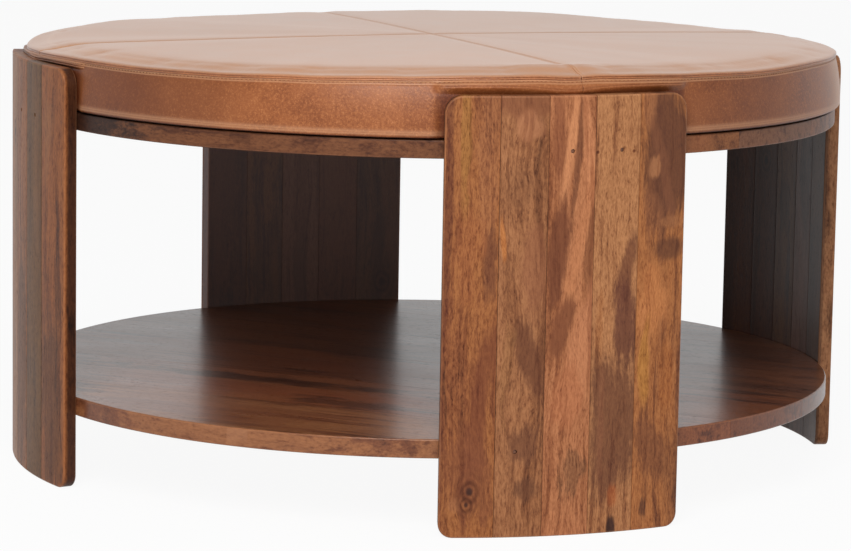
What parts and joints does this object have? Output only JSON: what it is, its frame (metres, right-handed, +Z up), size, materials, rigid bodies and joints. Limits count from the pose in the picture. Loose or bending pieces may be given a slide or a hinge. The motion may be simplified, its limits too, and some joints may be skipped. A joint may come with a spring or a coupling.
{
  "type": "round coffee table",
  "caption": "Round low wooden table with curved panel legs, a lower shelf and a padded leather top.",
  "frame": {"origin": "on the floor, under the middle of the table", "axes": "+Z up, the legs near the diagonals of X and Y, the planks of the shelf and the board along X, the front at -Y"},
  "size_m": [0.818, 0.818, 0.4246],
  "materials": {
    "stained_wood": "chestnut-stained hardwood under satin lacquer",
    "leather": "tan antiqued leather with a soft shine",
    "foam": "cream upholstery foam",
    "plywood": "bare plywood",
    "liner": "black non-woven cloth",
    "steel": "plain steel"
  },
  "bodies": {
    "root": {"front_right_leg_stave_1": "stained_wood", "front_right_leg_stave_2": "stained_wood", "front_right_leg_stave_3": "stained_wood", "front_right_leg_stave_4": "stained_wood", "front_right_leg_stave_5": "stained_wood", "front_right_cushion_screw": "steel", "front_right_leg_board_nail_left": "steel", "front_right_leg_board_nail_right": "steel", "front_right_leg_shelf_nail": "steel", "back_right_leg_stave_1": "stained_wood", "back_right_leg_stave_2": "stained_wood", "back_right_leg_stave_3": "stained_wood", "back_right_leg_stave_4": "stained_wood", "back_right_leg_stave_5": "stained_wood", "back_right_cushion_screw": "steel", "back_right_leg_board_nail_left": "steel", "back_right_leg_board_nail_right": "steel", "back_right_leg_shelf_nail": "steel", "back_left_leg_stave_1": "stained_wood", "back_left_leg_stave_2": "stained_wood", "back_left_leg_stave_3": "stained_wood", "back_left_leg_stave_4": "stained_wood", "back_left_leg_stave_5": "stained_wood", "back_left_cushion_screw": "steel", "back_left_leg_board_nail_left": "steel", "back_left_leg_board_nail_right": "steel", "back_left_leg_shelf_nail": "steel", "front_left_leg_stave_1": "stained_wood", "front_left_leg_stave_2": "stained_wood", "front_left_leg_stave_3": "stained_wood", "front_left_leg_stave_4": "stained_wood", "front_left_leg_stave_5": "stained_wood", "front_left_cushion_screw": "steel", "front_left_leg_board_nail_left": "steel", "front_left_leg_board_nail_right": "steel", "front_left_leg_shelf_nail": "steel", "shelf_plank_1": "stained_wood", "top_board_plank_1": "stained_wood", "shelf_plank_2": "stained_wood", "top_board_plank_2": "stained_wood", "shelf_plank_3": "stained_wood", "top_board_plank_3": "stained_wood", "shelf_plank_4": "stained_wood", "top_board_plank_4": "stained_wood", "shelf_plank_5": "stained_wood", "top_board_plank_5": "stained_wood", "shelf_plank_6": "stained_wood", "top_board_plank_6": "stained_wood", "cushion_liner": "liner", "cushion_base": "plywood", "foam_pad": "foam", "right_leather_side_strip": "leather", "right_leather_quarter": "leather", "back_leather_side_strip": "leather", "back_leather_quarter": "leather", "left_leather_side_strip": "leather", "left_leather_quarter": "leather", "front_leather_side_strip": "leather", "front_leather_quarter": "leather"}
  },
  "joints": []
}
